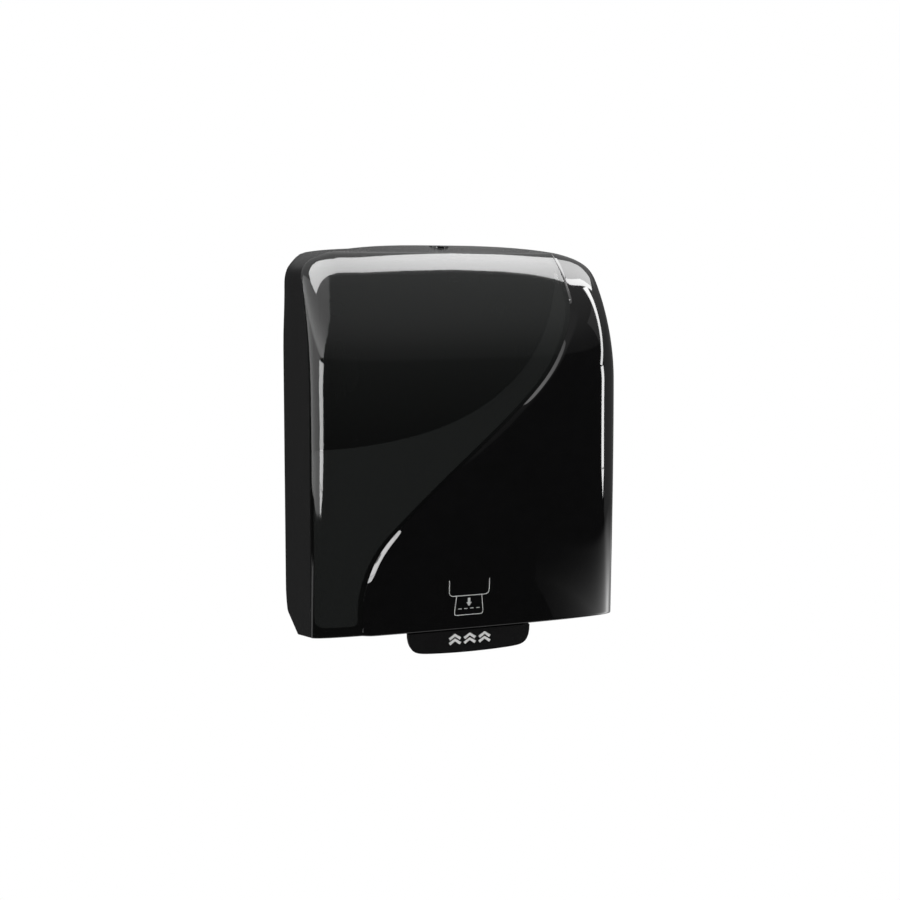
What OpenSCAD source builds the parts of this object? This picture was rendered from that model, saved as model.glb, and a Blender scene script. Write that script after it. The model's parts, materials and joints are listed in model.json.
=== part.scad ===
// Autocut paper-towel dispenser for a wall: rear housing, hinged two-part cover, push lever,
// cutting drum with a swinging serrated blade, pinch roller, feed gears and roll arms.
// Units are millimetres. X runs to the right, the front faces -Y, Z is up.
// The wall plane is y = 0 and the origin is the centre of the four wall-screw holes.
// Depths d are measured from the wall and heights z from the cover's lower edge.

/* [Body] */
// Overall width
body_w = 290; // [280:1:310]
// Height from the cover's lower edge to the top
body_h = 355; // [345:1:380]
// Depth of the side walls at the front seam
side_d = 180; // [176:1:195]
// Wall thickness of the mouldings
wall = 3; // [2.5:0.1:4]
// How far the rear floor drops below the cover's lower edge
belly = 29.5; // [20:0.5:32]
// Height of the rounded shoulders at the top corners
shoulder_h = 49; // [44:1:56]
// Radius of the lower corners
low_r = 6; // [5:0.5:14]
// Radius of the rounding at the lower back
back_r = 30; // [15:1:40]
// Horizontal spacing of the wall screws
hole_dx = 180; // [140:1:190]
// Vertical spacing of the wall screws
hole_dz = 220; // [180:1:230]
// Height of the lower wall screws
hole_z = 70; // [60:1:80]
// Radius of the wall-screw holes
hole_r = 3; // [2.5:0.1:4]

/* [Cover] */
// Bulge of the cover in front of the side walls at its lower edge
bulge_low = 15; // [13:0.5:20]
// Extra bulge at half height
bulge_mid = 12; // [6:1:15]
// Depth of the seam between cover and housing at the top
seam_d = 110; // [104:1:120]
// Drop of the seam below the top
seam_drop = 8; // [6:1:12]
// How far the window lies behind the solid panel
step_d = 2.2; // [1.5:0.1:3]
// Wall thickness of the cover
cover_t = 3; // [2.5:0.1:3.5]
// Width of the cover's flat rim along the seam
rim = 8; // [7:0.5:9]
// How far the rim's inner edge stands off the seam
rim_lift = 0.9; // [0.8:0.1:1.2]
// Seam gap between cover and housing
seam_gap = 0.6; // [0.4:0.1:1]

/* [Mechanism] */
// Room between the outer face of a side wall and the mechanism cheek beside it
side_room = 33; // [31:0.5:36]
// Room between a cheek and the end of the drum, where the feed gears run
gear_bay = 12; // [11:0.5:15]
// Radius of the cutting drum
drum_r = 38; // [36:0.5:40]
// Depth of the drum axle
drum_d = 95; // [92:1:98]
// Height of the drum axle
drum_z = 55; // [53:1:60]
// Radius of the drum axle
axle_r = 6; // [5:0.1:7]
// Radius of the pinch roller
pinch_r = 11; // [9:0.5:12]
// Gap left for the paper between drum and pinch roller
nip_gap = 0.4; // [0.3:0.1:1]
// Radial running clearance of the bores
fit = 0.05; // [0.03:0.01:0.1]
// Thickness of the cheeks
cheek_t = 3; // [2:0.1:3]
// Width of a grip band on the drum
band_w = 15; // [10:0.5:20]
// Spacing of the grip bands
band_dx = 60; // [50:1:75]
// Gear module of the feed gears
gear_m = 2; // [1.9:0.05:2.1]
// Teeth of the feed pinion
pinion_n = 14; // [13:1:15]
// Teeth of a full circle of the feed sector
sector_n = 31; // [29:1:33]

/* [Roll arms] */
// Depth of the roll hubs
roll_d = 100; // [95:1:105]
// Height of the roll hubs
roll_z = 230; // [225:1:235]
// Radius of the core plugs
plug_r = 18; // [15:0.5:19]
// Radius of the hub flanges
flange_r = 32; // [26:1:36]
// Radius of the hub stubs
stub_r = 5; // [4:0.1:5.5]
// Length of a hub from its core plug's face to the arm
hub_l = 26.6; // [22:0.2:28]
// Length of the core plugs
plug_l = 14; // [10:0.5:16]
// Thickness of the hub flanges
hub_flange = 3; // [2:0.5:4]

/* [Push lever] */
// Width of the push tab
tab_w = 117; // [100:1:120]
// How far the push tab hangs below the cover
tab_h = 22; // [18:0.5:26]
// Rise of the tab's lower edge from its middle to its ends
tab_bow = 2.5; // [1:0.5:4]
// Depth of the push tab from back to front
tab_d = 19; // [12:0.5:20]
// Thickness of the tab's face
tab_t = 6; // [4:0.5:8]
// Height of the lever pivot
lever_z = 48; // [46:0.5:50]

/* [Hidden] */
$fn = 64;
half_w = body_w / 2;
cheek_x = half_w - side_room;
drum_hl = cheek_x - gear_bay;
edge_z = -(hole_z + hole_dz / 2);
seam_z = body_h - seam_drop;
bend_z = seam_z - 122;
flat_z = seam_z - 51;
rows = 34;
cols = 22;
cheek_low = 4;
cheek_top = 132;
flange_w = 17;
stud_x = cheek_x + flange_w / 2 + 0.5;
stud_d = 8;
stud_zs = [cheek_low + 16, cheek_top - 14];
pinch_a = 64;
pinch_c = drum_r + nip_gap + pinch_r;
pinch_d = drum_d + pinch_c * cos(pinch_a);
pinch_z = drum_z + pinch_c * sin(pinch_a);
pinch_ax = 3;
hinge_d = side_d - 4;
hinge_z = 1.5;
hinge_pin_r = 2.5;
lever_d = side_d - 4;
lever_pin_r = 3;
plate_t = 4;
bar_z = 8;
bar_h = 10;
ear_z = 20;
rocker_d = drum_d + gear_m * (pinion_n + sector_n) / 2;
rocker_z = drum_z;
rocker_pin_r = 4;
arm_x = half_w - 21;
arm_in = arm_x - 9;
arm_pin_d = 16;
lock_d = 84;
lock_r = 7.5;
cam_z = body_h - 28;
cam_l = 30;
catch_z = body_h - 37;
blade_c = drum_r - 13.6;
blade_d = drum_d + blade_c * cos(145);
blade_z = drum_z + blade_c * sin(145);
blade_a = 239;
blade_pin_r = 2;

// Height of the body's top over the width, with rounded shoulders.
function top_z(x, w, t) =
  body_h - shoulder_h - t + shoulder_h * pow(max(0, 1 - pow(min(1, abs(x) / w), 2.2)), 0.22);

// Depth of the seam between housing and cover at a height.
function seam_at(z) = seam_d + (side_d - seam_d) * (1 - pow(max(0, (z - bend_z) / (seam_z - bend_z)), 2));

// Bulge of the cover's middle in front of the seam, h from 0 at the lower edge to 1 at the top.
function bulge(h) = (bulge_low + bulge_mid * sin(180 * h)) * sqrt(max(0, 1 - pow(min(1, h), 12)));

// Height of the cover's top edge over the width.
function cover_top(x) = min(seam_z, top_z(x, half_w, 0));

// Height on the cover for a row fraction v at a width x, level rows below the shoulders.
function row_z(x, v) =
  v <= 0.76 ? flat_z * v / 0.76
  : flat_z + (cover_top(x) - flat_z) * (1 - pow(1 - (v - 0.76) / 0.24, 1.6));

// Height on the cover's inner face, drawn in under the top edge.
function inner_z(x, v) =
  let (k = (cover_top(x) - cover_t) / cover_top(x))
  v <= 0.76 ? row_z(x, v) : row_z(x, v) * k + flat_z * (1 - k) * (1 - v) / 0.24;

// Place on the cover's outer face, set back by s.
function outer_pt(x, v, s) =
  let (z = row_z(x, v))
  let (a = min(1, abs(x) / half_w))
  [x, -seam_at(z) - max(0, bulge(z / cover_top(x)) - s) * pow(1 - pow(a, 3), 1 / 3), z];

// Place on the cover's inner face, t behind the outer one.
function inner_pt(x, v, s, t) =
  let (z = inner_z(x, v))
  let (a = min(1, abs(x) / (half_w - rim)))
  let (b = bulge(row_z(x, v) / cover_top(x)) - s)
  [x, -seam_at(z) - rim_lift * pow(a, 6) - max(0.3 * b, b - t) * pow(1 - pow(a, 3), 1 / 3), z];

// Width at which the solid panel ends and the window begins.
function split_x(v) =
  let (z = row_z(0, v))
  let (k = min(1, max(0, (z - 26) / 280)))
  half_w * (-0.686 + 1.428 * (3 * k * k - 2 * k * k * k));

// Column fraction packed towards the outer edge of the cover.
function pack(u) = 1 - pow(1 - u, 2.2);

// Closed shell between two grids of points of the same size.
module shell_grid(outer, inner) {
  nr = len(outer);
  nc = len(outer[0]);
  n = nr * nc;
  pts = concat([for (r = outer) each r], [for (r = inner) each r]);
  skin = [
    for (i = [0:nr - 2]) for (j = [0:nc - 2]) each [
      [i * nc + j, (i + 1) * nc + j, (i + 1) * nc + j + 1],
      [i * nc + j, (i + 1) * nc + j + 1, i * nc + j + 1],
      [n + i * nc + j, n + (i + 1) * nc + j + 1, n + (i + 1) * nc + j],
      [n + i * nc + j, n + i * nc + j + 1, n + (i + 1) * nc + j + 1]
    ]
  ];
  ends = [
    for (i = [0:nr - 2]) each [
      [i * nc, n + i * nc, n + (i + 1) * nc],
      [i * nc, n + (i + 1) * nc, (i + 1) * nc],
      [i * nc + nc - 1, n + (i + 1) * nc + nc - 1, n + i * nc + nc - 1],
      [i * nc + nc - 1, (i + 1) * nc + nc - 1, n + (i + 1) * nc + nc - 1]
    ]
  ];
  caps = [
    for (j = [0:nc - 2]) each [
      [j, j + 1, n + j + 1],
      [j, n + j + 1, n + j],
      [(nr - 1) * nc + j, n + (nr - 1) * nc + j + 1, (nr - 1) * nc + j + 1],
      [(nr - 1) * nc + j, n + (nr - 1) * nc + j, n + (nr - 1) * nc + j + 1]
    ]
  ];
  translate([0, 0, edge_z]) polyhedron(pts, concat(skin, ends, caps), convexity = 6);
}

// Side-view shape in (depth, height) drawn from x0 to x1.
module slab(x0, x1) {
  translate([x1, 0, edge_z]) rotate([90, 0, -90]) linear_extrude(x1 - x0) children();
}

// Front-view shape in (x, height) drawn from depth d0 to d1.
module face(d0, d1) {
  translate([0, -d0, edge_z]) rotate([90, 0, 0]) linear_extrude(d1 - d0) children();
}

// Plan-view shape in (x, -depth) drawn from height z0 to z1.
module floor_plan(z0, z1) {
  translate([0, 0, edge_z + z0]) linear_extrude(z1 - z0) children();
}

// Round bar along X.
module rod(r, x0, x1, d, z) {
  slab(x0, x1) translate([d, z]) circle(r);
}

// Round bar along the depth.
module peg(r, x, z, d0, d1) {
  face(d0, d1) translate([x, z]) circle(r);
}

// Upright round bar.
module post(r, x, d, z0, z1) {
  floor_plan(z0, z1) translate([x, -d]) circle(r);
}

// A shape on the right and its mirror image on the left.
module both() {
  children();
  mirror([1, 0, 0]) children();
}

// Outline of the housing seen from the front, t inside the outer face.
module front_outline(t) {
  w = half_w - t;
  n = 22;
  r = low_r - t;
  lows = -belly + t;
  xs = [for (i = [-n:n]) sign(i) * w * (1 - pow(1 - abs(i) / n, 3))];
  polygon(concat(
    [for (x = xs) [x, top_z(x, w, t)]],
    [for (k = [0:8]) [w - r + r * cos(90 * k / 8), lows + r - r * sin(90 * k / 8)]],
    [for (k = [0:8]) [-w + r - r * sin(90 * k / 8), lows + r - r * cos(90 * k / 8)]]
  ));
}

// Side view of the housing up to the seam.
module side_outer() {
  r = back_r;
  polygon(concat(
    [[0, body_h + 2]],
    [for (k = [0:8]) [r - r * cos(90 * k / 8), -belly + r - r * sin(90 * k / 8)]],
    [[76, -belly]],
    [for (k = [0:20]) let (z = -0.5 + (seam_z + 0.5) * k / 20) [seam_at(z) - seam_gap, z]],
    [for (k = [1:8]) [seam_d - seam_gap - 50 * k / 8, body_h - seam_drop * pow(1 - k / 8, 2)]],
    [[seam_d - 56, body_h + 2]]
  ));
}

// Side view of the space inside the housing, open to the front.
module side_inner() {
  r = back_r - wall;
  low = -belly + wall;
  polygon(concat(
    [[wall, body_h]],
    [for (k = [0:8]) [wall + r - r * cos(90 * k / 8), low + r - r * sin(90 * k / 8)]],
    [[76, low], [side_d, wall], [side_d + 60, wall], [side_d + 60, seam_z - wall]],
    [for (k = [0:8]) [seam_d - 50 * k / 8, body_h - wall - seam_drop * pow(1 - k / 8, 2)]],
    [[seam_d - 56, body_h]]
  ));
}

// Rear housing: back, sides, top and floor in one moulding, with lugs, studs, hinge blocks and lock collar.
module rear_housing() {
  block_x0 = half_w - wall - 4;
  block_x1 = half_w - wall / 2;
  pocket_z = body_h - 4.2;
  lug_h = 8.5;
  lug_r = 7;
  color("#1b1c1d") difference() {
    union() {
      difference() {
        intersection() {
          face(0, side_d + 10) front_outline(0);
          slab(-half_w - 1, half_w + 1) side_outer();
        }
        intersection() {
          face(wall, side_d + 60) front_outline(wall);
          slab(-half_w, half_w) side_inner();
        }
        // room for the lower edge of the swinging cover
        slab(-half_w - 1, half_w + 1) translate([hinge_d + 1.2, -belly]) square([20, belly + hinge_z]);
        slab(-block_x0, block_x0) translate([hinge_d - 12, -belly]) square([30, belly + 14]);
        // mouth for the paper and the lever
        slab(-cheek_x - 1, cheek_x + 1) translate([drum_d + 1, -belly - 5]) square([120, belly + 17]);
        // pocket of the lock cap
        post(lock_r + 2.3, 0, lock_d, pocket_z, body_h + 5);
      }
      both() {
        // lugs of the roll arms
        for (z = [roll_z - 18.5 - lug_h, roll_z + 18.5]) floor_plan(z, z + lug_h)
          translate([arm_x - lug_r, -arm_pin_d - lug_r]) square([2 * lug_r, arm_pin_d + lug_r - wall / 2]);
        // blocks of the cover hinge
        slab(block_x0, block_x1) translate([hinge_d - 30, hinge_z]) square([33, 5.2]);
        rod(hinge_pin_r + 1.1, block_x0, block_x1, hinge_d, hinge_z);
        // studs that carry the mechanism cheeks
        for (z = stud_zs) peg(5, stud_x, z, wall / 2, stud_d);
      }
      // collar of the lock
      post(lock_r + 4, 0, lock_d, pocket_z - 10, pocket_z);
    }
    // wall-screw holes
    both() for (z = [hole_z, hole_z + hole_dz]) peg(hole_r, hole_dx / 2, z, -1, wall + 1);
    // bores of the hinge pins, arm pins, cheek screws and lock
    both() {
      rod(hinge_pin_r + 0.02, block_x0 - 1, block_x1, hinge_d, hinge_z);
      post(hinge_pin_r + 0.02, arm_x, arm_pin_d, roll_z - 30, roll_z + 30);
      for (z = stud_zs) peg(2.05, stud_x, z, -1, stud_d + 1);
    }
    post(lock_r + fit, 0, lock_d, cam_z, body_h + 5);
  }
}

// Mechanism cheek seen from the side, with bores for the drum axle and the pinch axle.
module cheek_shape() {
  difference() {
    polygon([
      [stud_d, cheek_low], [stud_d, cheek_top], [48, cheek_top],
      [pinch_d - 8, pinch_z + 22], [pinch_d + 12, pinch_z + 10],
      [rocker_d + 14, rocker_z + 8], [rocker_d + 12, rocker_z - 14], [drum_d + 28, 6], [drum_d - 20, 2]
    ]);
    translate([drum_d, drum_z]) circle(axle_r + fit);
    translate([pinch_d, pinch_z]) circle(pinch_ax + fit);
    translate([30, 100]) circle(13);
    translate([34, 30]) circle(12);
  }
}

// Right-hand cheek with the flange that is screwed to the studs.
module cheek() {
  color("#3a3c3e") difference() {
    union() {
      slab(cheek_x, cheek_x + cheek_t) cheek_shape();
      face(stud_d, stud_d + cheek_t) translate([cheek_x, cheek_low + 2])
        square([flange_w, cheek_top - cheek_low - 4]);
    }
    for (z = stud_zs) peg(2.3, stud_x, z, 0, 20);
  }
}

module cheek_left() {
  mirror([1, 0, 0]) cheek();
}

// Right-hand cheek with the stub that carries the feed rocker.
module cheek_right() {
  cheek();
  color("#3a3c3e") rod(rocker_pin_r, drum_hl + 1.5, cheek_x + 1, rocker_d, rocker_z);
}

// Curved paper chute behind and below the drum.
module chute() {
  color("#2b2d2f") slab(-cheek_x, cheek_x) translate([drum_d, drum_z]) intersection() {
    difference() {
      circle(drum_r + 11.5);
      circle(drum_r + 9);
    }
    polygon([[0, 0], [-80, 30], [-80, -80], [6, -80]]);
  }
}

// Arc of the front guide between two angles.
module guide_arc(a0, a1) {
  r = drum_r + 9;
  angles = [for (k = [0:8]) a0 + (a1 - a0) * k / 8];
  translate([drum_d, drum_z]) polygon(concat(
    [for (a = angles) r * [cos(a), sin(a)]],
    [for (k = [8:-1:0]) (r + 2.5) * [cos(angles[k]), sin(angles[k])]]
  ));
}

// Front guide plate between the nip and the mouth, wider at its foot where the cheeks hold it.
module front_guide() {
  color("#2b2d2f") {
    slab(-drum_hl, drum_hl) guide_arc(-64, -14);
    slab(-cheek_x, cheek_x) guide_arc(-64, -54);
  }
}

// Screws that hold the cheeks to the housing.
module cheek_screws() {
  head_d = stud_d + cheek_t;
  color("#9a9da0") both() for (z = stud_zs) {
    peg(1.95, stud_x, z, 1, head_d + 1);
    difference() {
      peg(4.2, stud_x, z, head_d, head_d + 2.6);
      face(head_d + 1.6, head_d + 4) translate([stud_x, z]) {
        square([5, 1], center = true);
        square([1, 5], center = true);
      }
    }
  }
}

module hinge_pins() {
  color("#b4b7ba") both() rod(hinge_pin_r, half_w - 18.5, half_w - wall / 2 - 0.2, hinge_d, hinge_z);
}

module arm_pins() {
  color("#b4b7ba") both() post(hinge_pin_r, arm_x, arm_pin_d, roll_z - 28, roll_z + 28);
}

// Key barrel in the top, its cap sunk in the pocket and its cam under the wall, turned to the front.
module lock_barrel() {
  color("#0c0c0d") difference() {
    union() {
      post(lock_r, 0, lock_d, cam_z, body_h - 3);
      post(lock_r + 2, 0, lock_d, body_h - 4, body_h - 1.8);
      floor_plan(cam_z, cam_z + 5) translate([-4, -lock_d - cam_l]) square([8, cam_l]);
    }
    floor_plan(body_h - 5, body_h + 5) translate([0, -lock_d]) square([10, 2.4], center = true);
    post(2.2, 0, lock_d, body_h - 5, body_h + 5);
  }
}

// Upright bar of the cover's frame, lying along the seam.
module stile(x0, x1, z0, z1) {
  n = 20;
  zs = [for (k = [0:n]) z0 + (z1 - z0) * k / n];
  slab(x0, x1) polygon(concat(
    [for (z = zs) [seam_at(z) - 0.1, z]],
    [for (k = [n:-1:0]) [seam_at(zs[k]) - 8, zs[k]]]
  ));
}

// Inner frame of the cover: stiles along the seam, cross bars, hinge knuckles, lever lugs and catch.
module lid_frame() {
  post_x = half_w - 14;
  high = seam_z - 17;
  rail_z = high - 5;
  rail_d = seam_at(seam_z - 18) - 12;
  knuckle_x0 = half_w - 18;
  knuckle_x1 = half_w - rim - 0.4;
  color("#202224") difference() {
    union() {
      both() {
        stile(post_x, half_w - wall - 0.6, 9.5, body_h - shoulder_h - 4);
        stile(post_x, post_x + 4, body_h - shoulder_h - 14, high);
        // hinge knuckle
        slab(knuckle_x0, knuckle_x1) translate([hinge_d - 4, hinge_z]) square([7.9, 12]);
        rod(hinge_pin_r + 1.4, knuckle_x0, knuckle_x1, hinge_d, hinge_z);
        // lever lug
        rod(lever_pin_r + 4, cheek_x, cheek_x + 5, lever_d, lever_z);
        slab(cheek_x + 2, post_x + 1) translate([lever_d - 1, lever_z - 7]) square([4, 14]);
      }
      // lower bar and upper rail
      slab(-post_x - 1, post_x + 1) translate([hinge_d + 2.6, bar_z]) square([5, bar_h]);
      slab(-post_x - 1, post_x + 1) translate([rail_d, rail_z]) square([7, 8]);
      // catch for the lock cam: riser, arm and lip
      slab(14, cam_l) translate([rail_d, catch_z]) square([4, rail_z - catch_z + 1]);
      slab(14, cam_l) translate([lock_d - 10, catch_z]) square([rail_d - lock_d + 12, 4]);
      slab(14, cam_l) translate([lock_d - 10, catch_z]) square([3.5, 13]);
    }
    both() {
      rod(hinge_pin_r + fit, knuckle_x0 - 1, knuckle_x1 + 1, hinge_d, hinge_z);
      rod(lever_pin_r + fit, cheek_x - 1, cheek_x + 6, lever_d, lever_z);
    }
  }
}

// Solid right-hand panel of the cover, standing proud along the curved edge.
module lid_panel() {
  grid = [for (i = [0:rows]) let (v = i / rows) [v, split_x(v)]];
  outer = [
    for (g = grid) let (w = half_w - g[1])
      [for (j = [0:cols]) outer_pt(g[1] + w * pack(j / cols), g[0], 0)]
  ];
  inner = [
    for (g = grid) let (w = half_w - rim - g[1])
      [for (j = [0:cols]) inner_pt(g[1] + w * pack(j / cols), g[0], 0, cover_t + (j == 0 ? step_d : 0))]
  ];
  color("#0b0b0c") shell_grid(outer, inner);
}

// Smoked left-hand window of the cover.
module window() {
  grid = [for (i = [0:rows]) let (v = i / rows) [v, split_x(v) - 0.05]];
  outer = [
    for (g = grid) let (w = half_w + g[1])
      [for (j = [cols:-1:0]) outer_pt(g[1] - w * pack(j / cols), g[0], step_d)]
  ];
  inner = [
    for (g = grid) let (w = half_w - rim + g[1])
      [for (j = [cols:-1:0]) inner_pt(g[1] - w * pack(j / cols), g[0], step_d, cover_t)]
  ];
  color("#26292a") shell_grid(outer, inner);
}

// Lower edge of the push tab, a from -1 at the left end to 1 at the right end, with rounded corners.
function tab_edge(a) = -1.2 - (tab_h - 1.2 - tab_bow * a * a) * pow(max(0, 1 - pow(abs(a), 14)), 0.45);

// Push lever: cross bar on two pivots, hanging plate, striker, spring ear and the tab below the cover.
module push_lever() {
  half_t = tab_w / 2;
  back = lever_d - plate_t / 2;
  tip_d = back + tab_d;
  ends = [for (k = [-16:16]) sin(90 * k / 16)];
  color("#101011") {
    rod(4.5, -cheek_x + 0.6, cheek_x - 0.6, lever_d, lever_z);
    both() rod(lever_pin_r, cheek_x - 2, cheek_x + 4.5, lever_d, lever_z);
    slab(-half_t, half_t) translate([back, -2]) square([plate_t, lever_z]);
    // striker for the feed rocker
    slab(half_t - 10, cheek_x - 2) translate([back, 14]) square([plate_t, lever_z - 16]);
    // ear for the spring leg
    slab(-half_t - 20, -half_t + 4) translate([back, ear_z]) square([plate_t, 10]);
    // tab with a bowed lower edge, and the narrower block behind its face
    face(tip_d - tab_t, tip_d) polygon([for (a = ends) [half_t * a, tab_edge(a)]]);
    face(back, tip_d - tab_t / 2) translate([9 - half_t, 5 - tab_h]) square([tab_w - 18, tab_h - 6.2]);
  }
}

// Torsion spring round the lever bar: a leg on the frame's bar, coils and a leg behind the lever's ear.
module lever_spring() {
  turns = 5.5;
  steps = 12;
  pitch = 1.9;
  wire = 0.6;
  rad = 6;
  sides = 6;
  n = turns * steps;
  x0 = -tab_w / 2 - 26;
  x1 = x0 + pitch * turns;
  ear_d = lever_d - plate_t / 2 - wire - 0.1;
  coil = [
    for (i = [0:n]) let (a = 360 * i / steps)
      [x0 + pitch * i / steps, lever_d + rad * cos(a), lever_z + rad * sin(a)]
  ];
  line = concat(
    [[x0, lever_d + rad, bar_z + bar_h + 0.3], [x0, lever_d + rad, lever_z - 15]],
    coil,
    [[x1, ear_d - 1.5, lever_z - 12], [x1, ear_d, ear_z + 4]]
  );
  m = len(line);
  near = [for (i = [0:n - steps]) for (j = [i + steps - 3:min(n, i + steps + 3)]) norm(coil[i] - coil[j])];
  echo(str("lever_spring least gap to itself ", min(near) - 2 * wire));
  ring = [
    for (i = [0:m - 1])
      let (run = line[min(m - 1, i + 1)] - line[max(0, i - 1)])
      let (u = run / norm(run))
      let (s = cross(u, [1, 0, 0]) / norm(cross(u, [1, 0, 0])))
      let (w = cross(s, u))
      for (k = [0:sides - 1]) line[i] + wire * (cos(360 * k / sides) * w + sin(360 * k / sides) * s)
  ];
  pts = [for (p = ring) [p[0], -p[1], p[2]]];
  skin = [
    for (i = [0:m - 2]) for (k = [0:sides - 1]) let (k2 = (k + 1) % sides) each [
      [i * sides + k, i * sides + k2, (i + 1) * sides + k2],
      [i * sides + k, (i + 1) * sides + k2, (i + 1) * sides + k]
    ]
  ];
  ends = concat(
    [for (k = [1:sides - 2]) [0, k + 1, k]],
    [for (k = [1:sides - 2]) [(m - 1) * sides, (m - 1) * sides + k, (m - 1) * sides + k + 1]]
  );
  color("#c3c6c8") translate([0, 0, edge_z]) polyhedron(pts, concat(skin, ends), convexity = 10);
}

// Slot of the drum through which the blade swings out.
module blade_slot(x0, x1) {
  slab(x0, x1) translate([drum_d - drum_r - 1, drum_z - 11]) square([12, 25]);
}

// Grooves of the drum, and the rubber bands that fill them, t proud of the drum.
module band_rings(t) {
  half_b = band_w / 2;
  for (x = [-band_dx, 0, band_dx]) slab(x - half_b, x + half_b) translate([drum_d, drum_z]) difference() {
    circle(drum_r + t);
    circle(drum_r - 1);
  }
}

// Hollow cutting drum with end discs and a slot for the blade.
module drum_shell() {
  color("#4a4d50") difference() {
    union() {
      slab(-drum_hl, drum_hl) translate([drum_d, drum_z]) difference() {
        circle(drum_r);
        circle(drum_r - 3);
      }
      both() rod(drum_r - 1, drum_hl - 4, drum_hl, drum_d, drum_z);
    }
    rod(axle_r, -drum_hl - 1, drum_hl + 1, drum_d, drum_z);
    rod(blade_pin_r, -drum_hl - 1, drum_hl + 1, blade_d, blade_z);
    blade_slot(-drum_hl + 6, drum_hl - 6);
    band_rings(1);
  }
}

module drum_axle() {
  color("#c3c6c8") rod(axle_r, -cheek_x - 8, cheek_x + 16, drum_d, drum_z);
}

// Rubber grip bands on the drum, open over the blade slot.
module drum_bands() {
  color("#151515") difference() {
    band_rings(0);
    blade_slot(-drum_hl, drum_hl);
  }
}

// Knurled hand wheel on the right end of the axle.
module hand_knob() {
  color("#3d7f4a") slab(cheek_x + 5, cheek_x + 15) translate([drum_d, drum_z]) difference() {
    circle(19);
    circle(axle_r);
    for (k = [0:17]) rotate(20 * k) translate([20, 0]) circle(2.2, $fn = 16);
  }
}

// Involute angle of a gear flank at radius r over the base radius b.
function flank(r, b) = r <= b ? 0 : sqrt(r * r / b / b - 1) * 180 / PI - acos(b / r);

// Gear outline with n teeth on a full circle, teeth from k0 to k1 drawn.
module gear_shape(n, k0, k1, turn) {
  p = gear_m * n / 2;
  b = p * cos(20);
  tip = p + 0.85 * gear_m;
  root = p - 1.15 * gear_m;
  half = 90 / n - 8 / p + flank(p, b);
  low = max(b, root);
  rs = [for (i = [0:4]) low + (tip - low) * i / 4];
  foot = 0.94 * root * [cos(half), sin(half)];
  circle(root + 0.02);
  for (k = [k0:k1]) rotate(turn + 360 * k / n) polygon(concat(
    [[foot[0], -foot[1]]],
    [for (r = rs) let (a = half - flank(r, b)) r * [cos(a), -sin(a)]],
    [for (i = [4:-1:0]) let (a = half - flank(rs[i], b)) rs[i] * [cos(a), sin(a)]],
    [foot]
  ));
}

// One-way feed pinion on the drum axle.
module feed_pinion() {
  color("#d8d3c4") slab(drum_hl + 2.2, cheek_x - 3.4) translate([drum_d, drum_z]) difference() {
    gear_shape(pinion_n, 0, pinion_n - 1, 0);
    circle(axle_r + fit);
  }
}

// Feed rocker: gear sector, hub and the arm that the lever pushes.
module feed_rocker() {
  x0 = drum_hl + 2.6;
  x1 = cheek_x - 3.8;
  reach = lever_d - plate_t / 2 - 0.9 - rocker_d;
  drop = 30 - rocker_z;
  color("#d8d3c4") difference() {
    union() {
      slab(x0, x1) translate([rocker_d, rocker_z]) intersection() {
        gear_shape(sector_n, -4, 3, 180 + 180 / sector_n);
        polygon([[0, 0], [-60, 42], [-60, -42]]);
      }
      rod(8, x0, x1, rocker_d, rocker_z);
      slab(x0, x1) translate([rocker_d, rocker_z])
        polygon([[-5, -7], [5, -2], [reach, drop], [reach, drop - 5], [reach - 9, drop - 4]]);
    }
    rod(rocker_pin_r + fit, x0 - 1, x1 + 1, rocker_d, rocker_z);
  }
}

// Carrier that swings the blade out through the slot.
module blade_carrier() {
  w = drum_hl - 8;
  color("#8c8f92") difference() {
    union() {
      rod(4.5, -w, w, blade_d, blade_z);
      slab(-w, w) translate([blade_d, blade_z]) rotate(blade_a) translate([0, 0.7]) square([16, 3.2]);
    }
    rod(blade_pin_r + fit, -w - 1, w + 1, blade_d, blade_z);
  }
}

// Serrated steel blade lying on the carrier.
module blade() {
  teeth = 46;
  w = drum_hl - 10;
  saw = [for (i = [0:2 * teeth]) [-w + w * i / teeth, i % 2 == 0 ? 21 : 24]];
  color("#d9dcde") translate([0, -blade_d, edge_z + blade_z]) rotate([180 - blade_a, 0, 0])
    translate([0, 0, -0.5]) linear_extrude(0.9) polygon(concat([[w, 6], [-w, 6]], saw));
}

module blade_pin() {
  color("#c3c6c8") rod(blade_pin_r, -drum_hl, drum_hl, blade_d, blade_z);
}

module pinch_roller() {
  color("#1c1c1c") slab(-drum_hl + 2, drum_hl - 2) translate([pinch_d, pinch_z]) difference() {
    circle(pinch_r);
    circle(pinch_ax);
  }
}

module pinch_axle() {
  color("#c3c6c8") rod(pinch_ax, -cheek_x - 6, cheek_x + 6, pinch_d, pinch_z);
}

// Right-hand roll arm: barrel on its pin, root, flat blade and the headed stub for the hub.
module roll_arm() {
  inside = arm_in;
  end = inside - hub_l;
  h = 17;
  color("#3a3c3e") {
    difference() {
      union() {
        post(6, arm_x, arm_pin_d, roll_z - 18, roll_z + 18);
        slab(inside, arm_x) translate([arm_pin_d, roll_z - h]) square([5, 2 * h]);
        slab(inside, inside + 4) translate([0, roll_z]) polygon([
          [arm_pin_d, -h], [arm_pin_d, h], [roll_d - 6, h],
          [roll_d + 11, 8], [roll_d + 11, -8], [roll_d - 6, -h]
        ]);
      }
      post(hinge_pin_r + fit, arm_x, arm_pin_d, roll_z - 30, roll_z + 30);
    }
    rod(stub_r, end - 1.4, inside + 1, roll_d, roll_z);
    rod(stub_r + 1.5, end - 3.4, end - 0.9, roll_d, roll_z);
  }
}

module roll_arm_left() {
  mirror([1, 0, 0]) roll_arm();
}

module roll_arm_right() {
  roll_arm();
}

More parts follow.
